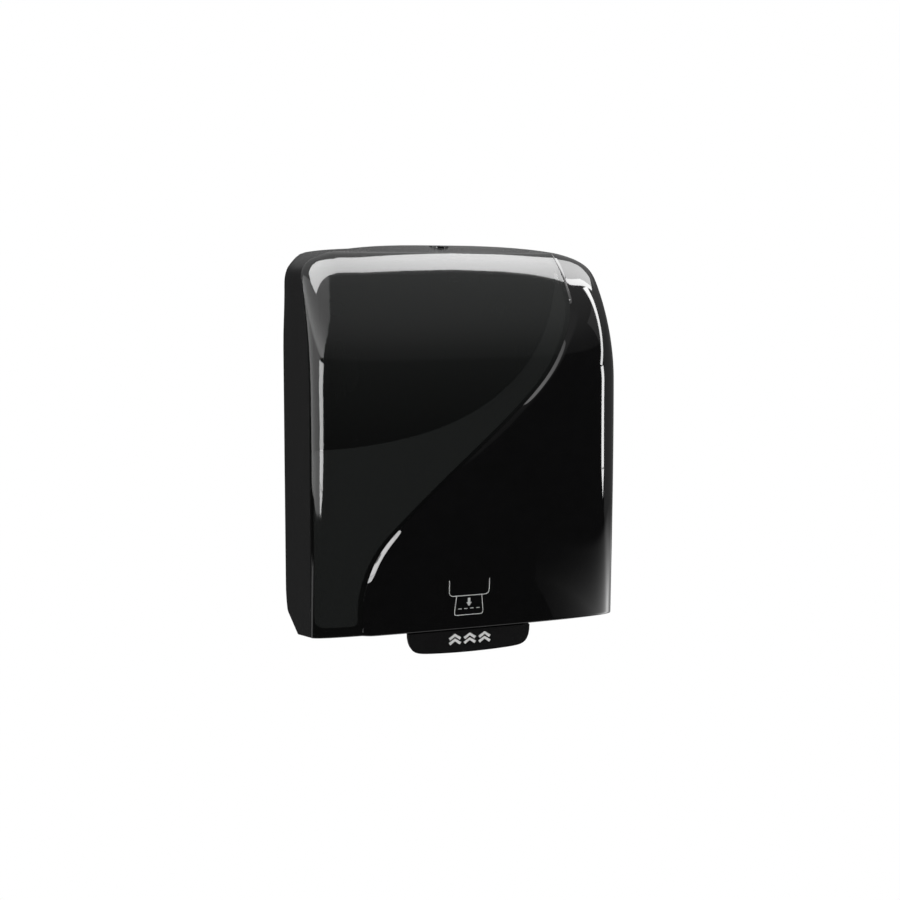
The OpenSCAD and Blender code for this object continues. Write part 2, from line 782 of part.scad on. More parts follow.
// Right-hand roll hub: core plug, flange and sleeve, free to spin on the stub.
module hub() {
  bore = stub_r + fit;
  sleeve = stub_r + 4;
  back = plug_l + hub_flange;
  color("#5a5d60") translate([arm_in - hub_l - 0.4, -roll_d, edge_z + roll_z]) rotate([0, 90, 0])
    rotate_extrude($fn = 72) polygon([
      [bore, 0], [plug_r - 2.5, 0], [plug_r, 5], [plug_r, plug_l], [flange_r, plug_l], [flange_r, back],
      [sleeve, back], [sleeve, hub_l], [bore, hub_l]
    ]);
}

module hub_left() {
  mirror([1, 0, 0]) hub();
}

module hub_right() {
  hub();
}

rear_housing();
cheek_left();
cheek_right();
chute();
front_guide();
cheek_screws();
hinge_pins();
arm_pins();
lock_barrel();
lid_frame();
lid_panel();
window();
push_lever();
lever_spring();
drum_shell();
drum_axle();
drum_bands();
hand_knob();
feed_pinion();
feed_rocker();
blade_carrier();
blade();
blade_pin();
pinch_roller();
pinch_axle();
roll_arm_left();
roll_arm_right();
hub_left();
hub_right();
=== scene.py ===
import json
import math

import bmesh
import bpy
from mathutils import Matrix, Vector

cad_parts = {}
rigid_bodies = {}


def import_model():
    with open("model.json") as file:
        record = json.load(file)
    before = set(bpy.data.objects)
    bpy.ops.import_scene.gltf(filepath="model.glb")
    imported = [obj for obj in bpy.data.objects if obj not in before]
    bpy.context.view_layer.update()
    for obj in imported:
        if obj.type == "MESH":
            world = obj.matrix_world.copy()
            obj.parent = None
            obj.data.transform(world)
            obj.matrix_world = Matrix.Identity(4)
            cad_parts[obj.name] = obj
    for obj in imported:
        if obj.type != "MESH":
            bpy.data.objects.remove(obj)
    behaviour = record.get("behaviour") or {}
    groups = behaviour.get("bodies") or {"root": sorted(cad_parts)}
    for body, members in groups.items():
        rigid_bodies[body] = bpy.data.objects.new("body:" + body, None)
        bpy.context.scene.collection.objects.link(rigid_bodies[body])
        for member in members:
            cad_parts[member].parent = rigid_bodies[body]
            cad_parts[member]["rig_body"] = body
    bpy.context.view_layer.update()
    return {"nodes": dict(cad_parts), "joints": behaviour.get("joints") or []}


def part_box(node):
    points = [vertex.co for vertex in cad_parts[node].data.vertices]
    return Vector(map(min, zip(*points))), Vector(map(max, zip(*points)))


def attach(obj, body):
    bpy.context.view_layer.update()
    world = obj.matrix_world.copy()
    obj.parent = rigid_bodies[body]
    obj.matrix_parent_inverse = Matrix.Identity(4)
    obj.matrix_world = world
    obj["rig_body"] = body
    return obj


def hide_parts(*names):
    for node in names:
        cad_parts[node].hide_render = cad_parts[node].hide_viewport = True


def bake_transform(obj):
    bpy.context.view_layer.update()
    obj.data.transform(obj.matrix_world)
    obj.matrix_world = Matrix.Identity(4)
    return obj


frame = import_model()

# Rear housing
# One black moulding of tough plastic that is screwed to the wall and carries everything else.
# Its outer faces have the fine grain of the mould, its edges are softly rounded.

MM = 0.001


class Wire:
    """An output of a shader node. Sums of wires and numbers add Math nodes."""

    def __init__(self, tree, socket=None):
        self.tree = tree
        self.socket = socket

    def node(self, kind, settings, inputs, out=0):
        """Adds a node of any kind, sets it up, feeds its sockets and gives one of its outputs."""
        made = self.tree.nodes.new("ShaderNode" + kind)
        for key, value in settings.items():
            setattr(made, key, value)
        for key, value in inputs.items():
            if isinstance(value, Wire):
                self.tree.links.new(value.socket, made.inputs[key])
            else:
                made.inputs[key].default_value = value
        return Wire(self.tree, made.outputs[out]) if made.outputs else None

    def math(self, operation, *values):
        return self.node("Math", {"operation": operation}, dict(enumerate(values)))

    def __add__(self, other):
        return self.math("ADD", self, other)

    def __sub__(self, other):
        return self.math("SUBTRACT", self, other)

    def __rsub__(self, other):
        return self.math("SUBTRACT", other, self)

    def __mul__(self, other):
        return self.math("MULTIPLY", self, other)

    def __truediv__(self, other):
        return self.math("DIVIDE", self, other)

    __radd__ = __add__
    __rmul__ = __mul__

    def ramp(self, low, high):
        """0 below low, 1 above high, smooth between."""
        ends = {"Value": self, "From Min": low, "From Max": high}
        return self.node("MapRange", {"interpolation_type": "SMOOTHSTEP"}, ends)

    def tint(self, first, second):
        """A colour that goes from the first to the second as this wire goes from 0 to 1."""
        ends = {0: self, 6: (*first, 1), 7: (*second, 1)}
        return self.node("Mix", {"data_type": "RGBA"}, ends, 2)


def blank_finish(name):
    """A new material, its place on the object in millimetres, and a call that feeds its shader."""
    made = bpy.data.materials.new(name)
    made.use_nodes = True
    tree = made.node_tree
    shader = tree.nodes["Principled BSDF"]
    metres = Wire(tree).node("TexCoord", {}, {}, "Object")
    place = metres.node("VectorMath", {"operation": "SCALE"}, {0: metres, "Scale": 1 / MM})

    def feed(**sockets):
        for key, value in sockets.items():
            socket = shader.inputs[key.replace("_", " ")]
            if isinstance(value, Wire):
                tree.links.new(value.socket, socket)
            else:
                socket.default_value = value

    return made, place, feed


def shades(colour, low, high):
    """Two shades of one colour."""
    return [low * c for c in colour], [high * c for c in colour]


def moulded(name, colour, rough, grain=0.6, depth=0.02):
    """Moulded plastic: the tool's fine grain, and colour and gloss that are faintly uneven."""
    made, place, feed = blank_finish(name)
    cloud = place.node("TexNoise", {}, {"Vector": place, "Scale": 0.03, "Detail": 3.0})
    fine = place.node("TexNoise", {}, {"Vector": place, "Scale": 1 / grain, "Detail": 2.0})
    bump = place.node("Bump", {}, {"Strength": 0.6, "Distance": depth * MM, "Height": fine})
    feed(Base_Color=cloud.tint(*shades(colour, 0.8, 1.2)))
    feed(Roughness=rough * (0.85 + 0.3 * cloud) + 0.08 * (fine - 0.5), Normal=bump)
    return made


def placed(shape, name, material):
    """An object at the origin that holds a finished bmesh with smooth shading over soft edges."""
    crease = math.radians(50)
    for face in shape.faces:
        face.smooth = True
    for edge in shape.edges:
        edge.smooth = len(edge.link_faces) == 2 and edge.calc_face_angle() < crease
    mesh = bpy.data.meshes.new(name)
    shape.to_mesh(mesh)
    shape.free()
    mesh.materials.append(material)
    made = bpy.data.objects.new(name, mesh)
    bpy.context.scene.collection.objects.link(made)
    return made


MERGE, SLIVER = 0.002 * MM, 0.0001 * MM
FLAT, SHARP = math.radians(0.4), math.radians(40)


def dressed(node, name, material, edge, reshape=None):
    """A CAD node's own form with merged corners and rounded edges, in the node's place."""
    source = frame["nodes"][node]
    shape = bmesh.new()
    shape.from_mesh(source.data)
    bmesh.ops.remove_doubles(shape, verts=shape.verts, dist=MERGE)
    bmesh.ops.dissolve_limit(shape, angle_limit=FLAT, verts=shape.verts, edges=shape.edges)
    if reshape:
        reshape(shape)
    sharp = [e for e in shape.edges if e.is_manifold and e.calc_face_angle() > SHARP]
    bmesh.ops.bevel(
        shape, geom=sharp, offset=edge * MM, affect="EDGES", segments=2, profile=0.5, material=-1,
        clamp_overlap=True,
    )
    bmesh.ops.dissolve_degenerate(shape, dist=SLIVER, edges=shape.edges)
    made = placed(shape, name, material)
    made.modifiers.new("even_shading", "WEIGHTED_NORMAL").keep_sharp = True
    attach(made, source["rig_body"])
    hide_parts(node)
    return made


low_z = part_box("lid_panel")[0].z / MM
half_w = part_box("rear_housing")[1].x / MM
housing_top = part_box("rear_housing")[1].z / MM - low_z
SHOULDER, CROWN, CORNER = 49, 2.2, 0.22
ON_OUTLINE = 0.3
REAR_DEPTH, REAR_CUTS = 60, (6, 14, 24, 35, 47, 60)
RISE, RISE_UP, RISE_DOWN, RISE_BEND = 4.6, (58, 122), (126.5, 139.5), 1.5
LEAN, LEAN_IN, LEAN_OUT, LEAN_CUTS = 1.7, (250, 312), (327, 339), (250, 265, 280, 294)


def part_way(value, low, high):
    """0 below low, 1 above high, even between."""
    return min(1, max(0, (value - low) / (high - low)))


def smooth(value, low, high):
    """0 below low, 1 above high, smooth between."""
    k = part_way(value, low, high)
    return k * k * (3 - 2 * k)


def outline_top(x):
    """Height of the housing's top over the width, rounded at the shoulders."""
    crown = max(0.0, 1 - min(1, abs(x) / half_w) ** CROWN) ** CORNER
    return housing_top - SHOULDER + SHOULDER * crown


def square_rear(shape):
    """Makes the shoulders squarer towards the wall, and draws the sides in a little under them."""

    def spot(vert):
        return vert.co.x / MM, -vert.co.y / MM, vert.co.z / MM - low_z

    def outer(vert):
        x, depth, z = spot(vert)
        return abs(x) > half_w - ON_OUTLINE or abs(z - outline_top(x)) < ON_OUTLINE

    cuts = [((0, -d * MM, 0), (0, 1, 0)) for d in REAR_CUTS]
    cuts += [((0, 0, (z + low_z) * MM), (0, 0, 1)) for z in LEAN_CUTS]
    for place, across in cuts:
        skin = [f for f in shape.faces if all(outer(v) for v in f.verts)]
        chosen = set(skin)
        around = [v for v in shape.verts if chosen & set(v.link_faces)]
        around += [e for e in shape.edges if chosen & set(e.link_faces)]
        bmesh.ops.bisect_plane(shape, geom=around + skin, dist=1e-7, plane_co=place, plane_no=across)
    for vert in [v for v in shape.verts if outer(v)]:
        x, depth, z = spot(vert)
        fade = 1 - smooth(depth, 0, REAR_DEPTH)
        rise = part_way(abs(x), *RISE_UP) ** RISE_BEND * (1 - smooth(abs(x), *RISE_DOWN))
        lean = smooth(z, *LEAN_IN) * (1 - smooth(z, *LEAN_OUT))
        vert.co.z += RISE * rise * fade * MM
        vert.co.x -= math.copysign(LEAN * lean * fade * MM, x)


housing_black = moulded("housing_black", (0.009, 0.0092, 0.0095), 0.24, 0.7, 0.012)
dressed("rear_housing", "housing_shell", housing_black, 0.3, square_rear)

# Cheeks, paper chute and front guide
# Two side plates hold the mechanism, and two bent guides between them lead the paper round the drum.
# All are moulded in dark grey plastic; the cheeks are screwed to studs on the housing's back.

cheek_grey = moulded("cheek_grey", (0.13, 0.135, 0.14), 0.42, 0.5, 0.02)
guide_grey = moulded("guide_grey", (0.075, 0.08, 0.084), 0.34, 0.4, 0.012)
dressed("cheek_left", "cheek_plate_left", cheek_grey, 0.5)
dressed("cheek_right", "cheek_plate_right", cheek_grey, 0.5)
dressed("chute", "paper_chute", guide_grey, 0.5)
dressed("front_guide", "paper_guide", guide_grey, 0.5)

# Screws and pins
# Four cross-head screws hold the cheeks, and plain steel pins carry the cover and the roll arms.
# The steel is ground along its length, so its gloss runs in fine streaks.


def ground_steel(name, colour, rough, along):
    """Bright steel with fine grinding streaks along one axis."""
    made, place, feed = blank_finish(name)
    squeeze = [0.08 if axis == along else 6.0 for axis in "xyz"]
    streaks = place.node("Mapping", {}, {"Vector": place, "Scale": squeeze})
    lines = place.node("TexNoise", {}, {"Vector": streaks, "Scale": 1.0, "Detail": 3.0})
    cloud = place.node("TexNoise", {}, {"Vector": place, "Scale": 0.08, "Detail": 2.0})
    bump = place.node("Bump", {}, {"Strength": 0.4, "Distance": 0.01 * MM, "Height": lines})
    feed(Base_Color=(0.6 * lines + 0.4 * cloud).tint(*shades(colour, 0.75, 1.1)), Metallic=1.0)
    feed(Roughness=rough * (0.7 + 0.6 * lines), Normal=bump)
    return made


pin_steel = ground_steel("pin_steel", (0.62, 0.63, 0.64), 0.26, "x")
upright_steel = ground_steel("upright_steel", (0.62, 0.63, 0.64), 0.26, "z")
dressed("cheek_screws", "cross_screws", pin_steel, 0.25)
dressed("hinge_pins", "cover_pins", pin_steel, 0.4)
dressed("arm_pins", "roll_arm_pins", upright_steel, 0.4)

# Wall screws
# Four hexagon-head screws with washers hold the housing on the wall through its back.
# They are zinc-plated steel; heads and washers are pressed, so their rims are rounded.

HOLE_X, HOLE_Z, BORE_R, BACK_T = 90, 110, 2.8, 3
WASHER_R, WASHER_T, HEX_R, HEX_H = 8.0, 1.2, 5.6, 3.6
SHANK_GAP, SHANK_RIM, WASHER_RIM, HEX_RIM = 0.05, 0.1, 0.4, 0.7


def screw_step(shape, sides, radius, x, z, depth, height, soft):
    """One step of a screw that stands out from a depth, with its front rim rounded."""
    turn = Matrix.Translation((x, -depth - height / 2, z)) @ Matrix.Rotation(math.pi / 2, 4, "X")
    made = bmesh.ops.create_cone(
        shape, cap_ends=True, segments=sides, radius1=radius, radius2=radius, depth=height, matrix=turn
    )["verts"]
    front = min((f for v in made for f in v.link_faces), key=lambda f: f.calc_center_median().y)
    bmesh.ops.bevel(
        shape, geom=list(front.edges), offset=soft, affect="EDGES", segments=3, profile=0.5, material=-1
    )


zinc = ground_steel("zinc", (0.58, 0.59, 0.6), 0.32, "y")
screws = bmesh.new()
for x in (-HOLE_X, HOLE_X):
    for z in (-HOLE_Z, HOLE_Z):
        screw_step(screws, 24, BORE_R, x, z, SHANK_GAP, BACK_T - 2 * SHANK_GAP, SHANK_RIM)
        screw_step(screws, 48, WASHER_R, x, z, BACK_T, WASHER_T, WASHER_RIM)
        screw_step(screws, 6, HEX_R, x, z, BACK_T + WASHER_T, HEX_H, HEX_RIM)
bmesh.ops.scale(screws, verts=screws.verts, vec=(MM, MM, MM))
wall_screws = placed(screws, "wall_screws", zinc)
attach(wall_screws, "housing")

# Lock
# A key barrel sits in a pocket of the housing's top; its cam turns behind the cover's catch.
# The cap is smooth black plastic with a slot for the flat key.

cap_black = moulded("cap_black", (0.006, 0.006, 0.0065), 0.22, 0.5, 0.006)
dressed("lock_barrel", "lock_cap", cap_black, 0.35)

# Drum
# A hollow grey drum on a steel axle feeds the paper with three flush rubber bands.
# A green hand wheel on the axle's end is for threading new paper.


def rubber(name, colour):
    """Matt rubber with a fine ground surface and faint bloom."""
    made, place, feed = blank_finish(name)
    fine = place.node("TexNoise", {}, {"Vector": place, "Scale": 3.5, "Detail": 4.0})
    bloom = place.node("TexNoise", {}, {"Vector": place, "Scale": 0.12, "Detail": 3.0})
    bump = place.node("Bump", {}, {"Strength": 0.8, "Distance": 0.05 * MM, "Height": fine})
    feed(Base_Color=bloom.tint(*shades(colour, 0.7, 1.6)), Roughness=0.72 + 0.18 * bloom, Normal=bump)
    return made


drum_grey = moulded("drum_grey", (0.22, 0.23, 0.24), 0.36, 0.5, 0.015)
knob_green = moulded("knob_green", (0.045, 0.19, 0.075), 0.33, 0.5, 0.015)
band_rubber = rubber("band_rubber", (0.02, 0.02, 0.02))
dressed("drum_shell", "drum", drum_grey, 0.4)
dressed("drum_bands", "grip_bands", band_rubber, 0.2)
dressed("drum_axle", "drum_shaft", pin_steel, 0.5)
dressed("hand_knob", "hand_wheel", knob_green, 0.5)

# Blade
# A serrated steel blade lies on a carrier inside the drum and swings out through the drum's slot.
# The carrier turns on a thin steel pin; the blade is stamped and ground.

blade_steel = ground_steel("blade_steel", (0.7, 0.71, 0.72), 0.18, "x")
dressed("blade_carrier", "cutter_carrier", drum_grey, 0.4)
dressed("blade", "cutter", blade_steel, 0.1)
dressed("blade_pin", "cutter_pin", pin_steel, 0.3)

# Feed gears
# The lever pushes a rocker whose toothed sector turns the pinion beside the drum.
# Both are ivory acetal, slightly waxy.

acetal = moulded("acetal", (0.68, 0.64, 0.54), 0.38, 0.8, 0.008)
dressed("feed_pinion", "pinion", acetal, 0.15)
dressed("feed_rocker", "rocker", acetal, 0.15)

# Pinch roller
# A rubber roller on a steel axle presses the paper on the drum and turns with it.
# The rubber is ground round after moulding.

roller_rubber = rubber("roller_rubber", (0.03, 0.03, 0.03))
dressed("pinch_roller", "roller", roller_rubber, 0.5)
dressed("pinch_axle", "roller_shaft", pin_steel, 0.4)

# Roll arms and hubs
# Two sprung arms on upright pins clamp the paper roll between hubs that spin on their stubs.
# Arms and hubs are moulded in grey plastic.

hub_grey = moulded("hub_grey", (0.17, 0.175, 0.18), 0.35, 0.5, 0.012)
for side in ("left", "right"):
    dressed("roll_arm_" + side, "arm_" + side, cheek_grey, 0.6)
    dressed("hub_" + side, "roll_hub_" + side, hub_grey, 0.5)

# Cover frame
# A stiff inner frame carries the cover's two shells, the hinge knuckles, the lever and the lock catch.
# It is moulded in dark satin plastic and glued behind the shells.

frame_dark = moulded("frame_dark", (0.055, 0.057, 0.06), 0.38, 0.5, 0.015)
dressed("lid_frame", "cover_frame", frame_dark, 0.5)

# Cover panel
# The right-hand shell of the cover is polished black plastic with a rounded curved edge.
# It rolls back to the seam all round and stands a little proud of the window.

BEND_DROP, FLAT_DROP = 122, 51
seam_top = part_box("lid_panel")[1].z / MM - low_z
bend_z = seam_top - BEND_DROP
flat_z = seam_top - FLAT_DROP
SEAM_LOW, SEAM_HIGH = 180, 110
BULGE_LOW, BULGE_MID, BULGE_END, SIDE_ROUND = 15, 12, 12, 3
STEP, STEP_LOSS, STEP_FADE = 3, 0.75, (295, 340)
SPLIT_X, SPLIT_SWING, SPLIT_Z = -0.686, 1.428, (26, 306)
SPLIT_DIP, DIPS = 3.2, ((80, 26), (266, 30))
LIP_STEEP, LIP_SHARE = 0.43, 0.95
LIP_STEPS = ((0.22, 20, 80), (-0.132, 88, 104), (0.34, 192, 220), (-0.34, 252, 282), (0.9, 288, 314))
SHELL, FOOT_R = 2.6, 2.2
FOOT_H = 1.4 * FOOT_R
COLUMNS, ROWS = 110, 120
FOOT_ROWS, FLAT_ROWS = 0.06, 0.74
FOOT_PACK, TOP_PACK = 1.7, 1.6


def top_edge(x):
    """Height of the cover's top edge over the width, rounded at the shoulders."""
    return min(seam_top, outline_top(x))


def row_height(x, v):
    """Height of a row: close at the rounded foot, then level, then drawn in under the shoulders."""
    if v < FOOT_ROWS:
        return FOOT_H * (v / FOOT_ROWS) ** FOOT_PACK
    if v < FLAT_ROWS:
        return FOOT_H + (flat_z - FOOT_H) * (v - FOOT_ROWS) / (FLAT_ROWS - FOOT_ROWS)
    return flat_z + (top_edge(x) - flat_z) * (1 - (1 - (v - FLAT_ROWS) / (1 - FLAT_ROWS)) ** TOP_PACK)


def cover_depth(x, z, back):
    """Depth of the cover's face from the wall, set back by some millimetres."""
    rise = max(0.0, (z - bend_z) / (seam_top - bend_z))
    seam = SEAM_LOW - (SEAM_LOW - SEAM_HIGH) * rise ** 2
    h = min(1, z / top_edge(x))
    bulge = (BULGE_LOW + BULGE_MID * math.sin(math.pi * h)) * math.sqrt(1 - h ** BULGE_END)
    foot = FOOT_R - math.sqrt(FOOT_R ** 2 - max(0.0, FOOT_R - z) ** 2)
    side = (1 - min(1, abs(x) / half_w) ** SIDE_ROUND) ** (1 / SIDE_ROUND)
    return seam + max(0.0, bulge - back - foot) * side


def split_x(z):
    """Where the curved edge between window and panel runs at a height."""
    dips = sum(math.exp(-(((z - at) / wide) ** 2)) for at, wide in DIPS)
    return half_w * (SPLIT_X + SPLIT_SWING * smooth(z, *SPLIT_Z)) - SPLIT_DIP * dips


def split_slant(z):
    """Cosine of the curved edge's slant at a height."""
    return 1 / math.hypot(1, (split_x(z + 0.5) - split_x(z - 0.5)))


def cover_shell(name, material, spot):
    """A shell of the cover: a grid laid on the spots that a function gives, thickened inwards."""
    shape = bmesh.new()
    bmesh.ops.create_grid(shape, x_segments=COLUMNS, y_segments=ROWS, size=0.5)
    for vert in shape.verts:
        u, v = vert.co.x + 0.5, vert.co.y + 0.5
        x, z, back = spot(smooth(u, 0, 1), v)
        vert.co = Vector((x, -cover_depth(x, z, back), z + low_z)) * MM
    bmesh.ops.recalc_face_normals(shape, faces=shape.faces)
    middle = max(shape.faces, key=lambda face: face.calc_area())
    if middle.normal.y > 0:
        bmesh.ops.reverse_faces(shape, faces=shape.faces)
    made = placed(shape, name, material)
    wall = made.modifiers.new("wall", "SOLIDIFY")
    wall.thickness = SHELL * MM
    wall.offset = -1
    return made


def set_back(z):
    """How far the window lies behind the panel at a height; the step fades out towards the top."""
    return STEP * (1 - STEP_LOSS * smooth(z, *STEP_FADE))


def lip_drop(gap, z):
    """How far the panel's face drops at a distance from its curved edge, steepest at the edge."""
    steep = LIP_STEEP + sum(more * smooth(z, low, high) for more, low, high in LIP_STEPS)
    wide = LIP_SHARE * set_back(z) / (3 / 4 * steep)
    gap = min(gap, wide)
    return steep * (3 / 4 * wide - gap + gap ** 4 / (4 * wide ** 3))


def panel_spot(u, v):
    """Place on the panel: from the curved edge, where the face rounds down, to the right-hand seam."""
    start = split_x(row_height(0, v))
    x = start + (half_w - start) * u
    z = row_height(x, v)
    return x, z, lip_drop((x - start) * split_slant(z), z)


def gloss_black(name):
    """Polished black plastic: a deep mirror with faint waves of the mould and fine wiping marks."""
    made, place, feed = blank_finish(name)
    waves = place.node("TexNoise", {}, {"Vector": place, "Scale": 0.09, "Detail": 2.0})
    wipe = place.node("Mapping", {}, {"Vector": place, "Scale": (0.9, 0.9, 0.05)})
    marks = place.node("TexNoise", {}, {"Vector": wipe, "Scale": 1.0, "Detail": 5.0})
    bump = place.node("Bump", {}, {"Strength": 0.15, "Distance": 0.05 * MM, "Height": waves})
    feed(Base_Color=waves.tint((0.0025, 0.0025, 0.0026), (0.0042, 0.0042, 0.0044)))
    feed(Roughness=0.03 + 0.05 * marks.ramp(0.5, 0.85), Normal=bump)
    return made


panel_black = gloss_black("panel_black")
panel = cover_shell("cover_panel", panel_black, panel_spot)
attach(panel, "cover")
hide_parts("lid_panel")

# Window
# The left-hand shell is smoked clear plastic, so the paper left on the roll shows.
# Its lower part is finely frosted inside a clear margin, up to a rising arc.

FROST_FOOT, FROST_LEFT, FROST_EDGE, FROST_BLUR = 10, 2.5, 4, 0.4
ARC_Z, ARC_RISE, ARC_RUN = 166, 35.5, 67
ARC_SLANT, EDGE_SLANT = 0.85, 0.8
TIP_SOFT, CORNER_SOFT, SIDE_SOFT = 2.0, 14.0, 8.0
# Heights over which the clear part's painted glow rises from dark to lighter.
PAINTED_GLOW_Z, SOLID_Z = (120, 340), (60, 120)


def window_spot(u, v):
    """Place on the window: from the left-hand seam to the curved edge."""
    end = split_x(row_height(0, v))
    x = -half_w + (end + half_w) * u
    z = row_height(x, v)
    return x, z, set_back(z)


def smoked(name):
    """Smoked plastic, clear and polished above, frosted below the arc; the clear part has a painted glow
    that grows lighter towards the top.
    """
    made, place, feed = blank_finish(name)
    x = place.node("SeparateXYZ", {}, {0: place}, "X")
    z = place.node("SeparateXYZ", {}, {0: place}, "Z") - low_z
    dips = sum(place.math("EXPONENT", -1 * gap * gap) for gap in [(z - at) / wide for at, wide in DIPS])
    edge = half_w * (SPLIT_X + SPLIT_SWING * z.ramp(*SPLIT_Z)) - SPLIT_DIP * dips
    arc = ARC_Z + ARC_RISE * place.math("EXPONENT", x / ARC_RUN)
    under_arc, beside_edge = (arc - z) * ARC_SLANT, (edge - x) * EDGE_SLANT - FROST_EDGE
    upper = place.math("SMOOTH_MIN", under_arc, beside_edge, TIP_SOFT)
    lower = place.math("SMOOTH_MIN", z - FROST_FOOT, x + half_w - FROST_LEFT, CORNER_SOFT)
    frost = place.math("SMOOTH_MIN", upper, lower, SIDE_SOFT).ramp(-FROST_BLUR, FROST_BLUR)
    grain = place.node("TexNoise", {}, {"Vector": place, "Scale": 2.6, "Detail": 3.0})
    waves = place.node("TexNoise", {}, {"Vector": place, "Scale": 0.08, "Detail": 2.0})
    bump = place.node("Bump", {}, {"Strength": 0.15, "Distance": 0.05 * MM, "Height": waves})
    # Painted light: the clear part's colour is painted lighter towards the top to stand in for light from
    # above inside the cover.
    painted_top_glow = z.ramp(*PAINTED_GLOW_Z)
    shade = frost * (0.5 + 0.35 * grain) + (1 - frost) * (0.12 + 0.6 * painted_top_glow)
    feed(Base_Color=shade.tint((0.001, 0.001, 0.001), (0.0205, 0.0222, 0.0214)))
    solid = place.math("MAXIMUM", frost, 1 - z.ramp(*SOLID_Z))
    feed(Roughness=0.03 + 0.03 * waves, Alpha=0.8 + 0.18 * solid, Normal=bump)
    return made


window_smoke = smoked("window_smoke")
window = cover_shell("cover_window", window_smoke, window_spot)
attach(window, "cover")
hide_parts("window")

# Pictogram
# A small line picture printed in pale ink on the panel's foot: a sheet under the mouth and an arrow.
# The ink stands a tenth of a millimetre on the polished face.

INK, INK_ROOT, LINE = 0.12, 0.08, 0.66
PICTO_X, PICTO_Z = -2.2, 10.6
MOUTH_X, MOUTH_LOW, MOUTH_TOP, MOUTH_R = 19, 22, 37, 4
SHEET_X, SHEET_TOP_X, SHEET_TOP, SHEET_LOW, SHEET_R = 13.5, 12, 22, 3.5, 2
DASHES, DASH, DASH_Z = (-8.5, -2.8, 2.9, 8.6), 1.6, 9.5
STEM_TOP, STEM_LOW, STEM_W = 19.5, 15.2, 2.2
HEAD_X, HEAD_TOP, HEAD_LOW = 2.6, 15.4, 11.6


def printed_line(shape, path, width):
    """A printed line in the plane of (x, z): a narrow grid bent along the path."""
    steps = len(path) - 1
    made = bmesh.ops.create_grid(shape, x_segments=steps, y_segments=1, size=0.5)["verts"]
    for vert in made:
        i = round((vert.co.x + 0.5) * steps)
        before, after = Vector(path[max(0, i - 1)]), Vector(path[min(steps, i + 1)])
        along = (after - before).normalized()
        x, z = Vector(path[i]) + Vector((-along.y, along.x)) * width * (1 if vert.co.y > 0 else -1) / 2
        vert.co = (x, 0, z)


def printed_patch(shape, outline):
    """A filled printed shape in the plane of (x, z)."""
    corners = [shape.verts.new((x, 0, z)) for x, z in outline]
    bmesh.ops.contextual_create(shape, geom=corners)


def print_on(shape, name, material, depth_at):
    """Lays flat printed shapes on a face whose depth is known and gives the ink its thickness."""
    for vert in shape.verts:
        x, z = vert.co.x, vert.co.z
        vert.co = Vector((x, -depth_at(x, z) - INK, z + low_z)) * MM
    for face in shape.faces:
        face.normal_update()
        if face.normal.y > 0:
            face.normal_flip()
    made = placed(shape, name, material)
    film = made.modifiers.new("ink_film", "SOLIDIFY")
    film.thickness = (INK + INK_ROOT) * MM
    film.offset = -1
    return made


def ink(name, colour):
    """Screen-printed ink with slightly uneven cover."""
    made, place, feed = blank_finish(name)
    cover = place.node("TexNoise", {}, {"Vector": place, "Scale": 1.4, "Detail": 4.0})
    bump = place.node("Bump", {}, {"Strength": 0.3, "Distance": 0.02 * MM, "Height": cover})
    feed(Base_Color=cover.tint(*shades(colour, 0.85, 1.05)), Roughness=0.45 + 0.15 * cover, Normal=bump)
    return made


def bend(centre, radius, start, turn, steps=6):
    """Points of an arc in degrees."""
    angles = [math.radians(start + turn * i / steps) for i in range(steps + 1)]
    return [(centre[0] + radius * math.cos(a), centre[1] + radius * math.sin(a)) for a in angles]


picture = bmesh.new()
bend_x, bend_low = MOUTH_X - MOUTH_R, MOUTH_LOW + MOUTH_R
mouth = bend((-bend_x, bend_low), MOUTH_R, 180, 90) + bend((bend_x, bend_low), MOUTH_R, 270, 90)
printed_line(picture, [(-MOUTH_X, MOUTH_TOP)] + mouth + [(MOUTH_X, MOUTH_TOP)], LINE)
bend_x, bend_low = SHEET_X - SHEET_R, SHEET_LOW + SHEET_R
sheet = bend((-bend_x, bend_low), SHEET_R, 180, 90, 3) + bend((bend_x, bend_low), SHEET_R, 270, 90, 3)
left_side = [(-SHEET_TOP_X, SHEET_TOP), (-SHEET_X, 2 * SHEET_LOW)]
right_side = [(SHEET_X, 2 * SHEET_LOW), (SHEET_TOP_X, SHEET_TOP)]
printed_line(picture, left_side + sheet + right_side, LINE)
for x in DASHES:
    printed_line(picture, [(x - DASH, DASH_Z), (x + DASH, DASH_Z)], LINE)
printed_line(picture, [(0, STEM_TOP), (0, STEM_LOW)], STEM_W)
printed_patch(picture, [(-HEAD_X, HEAD_TOP), (HEAD_X, HEAD_TOP), (0, HEAD_LOW)])
for vert in picture.verts:
    vert.co += Vector((PICTO_X, 0, PICTO_Z))
pale_ink = ink("pale_ink", (0.62, 0.63, 0.62))
pictogram = print_on(picture, "pictogram", pale_ink, lambda x, z: cover_depth(x, z, 0))
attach(pictogram, "cover")

# Push lever and its mark
# A satin black lever hangs on two pivots in the cover; pushing its tab feeds and cuts a sheet.
# Three double chevrons in white ink on the tab show where to push.

lever_black = moulded("lever_black", (0.006, 0.006, 0.0062), 0.24, 0.5, 0.006)
dressed("push_lever", "lever", lever_black, 0.8)

tab_face = -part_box("push_lever")[0].y / MM
MARK_W, MARK_H, MARK_LINE = 5.2, 3.6, 2.6
MARK_Z, MARK_STEP, MARK_PAIR = -13.4, 14.2, 4.4
marks = bmesh.new()
for x in (-MARK_STEP, 0, MARK_STEP):
    for rise in (0, MARK_PAIR):
        chevron = [(x - MARK_W, MARK_Z), (x, MARK_Z + MARK_H), (x + MARK_W, MARK_Z)]
        printed_line(marks, [(px, pz + rise) for px, pz in chevron], MARK_LINE)
white_ink = ink("white_ink", (0.8, 0.8, 0.79))
tab_marks = print_on(marks, "tab_marks", white_ink, lambda x, z: tab_face)
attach(tab_marks, "lever")
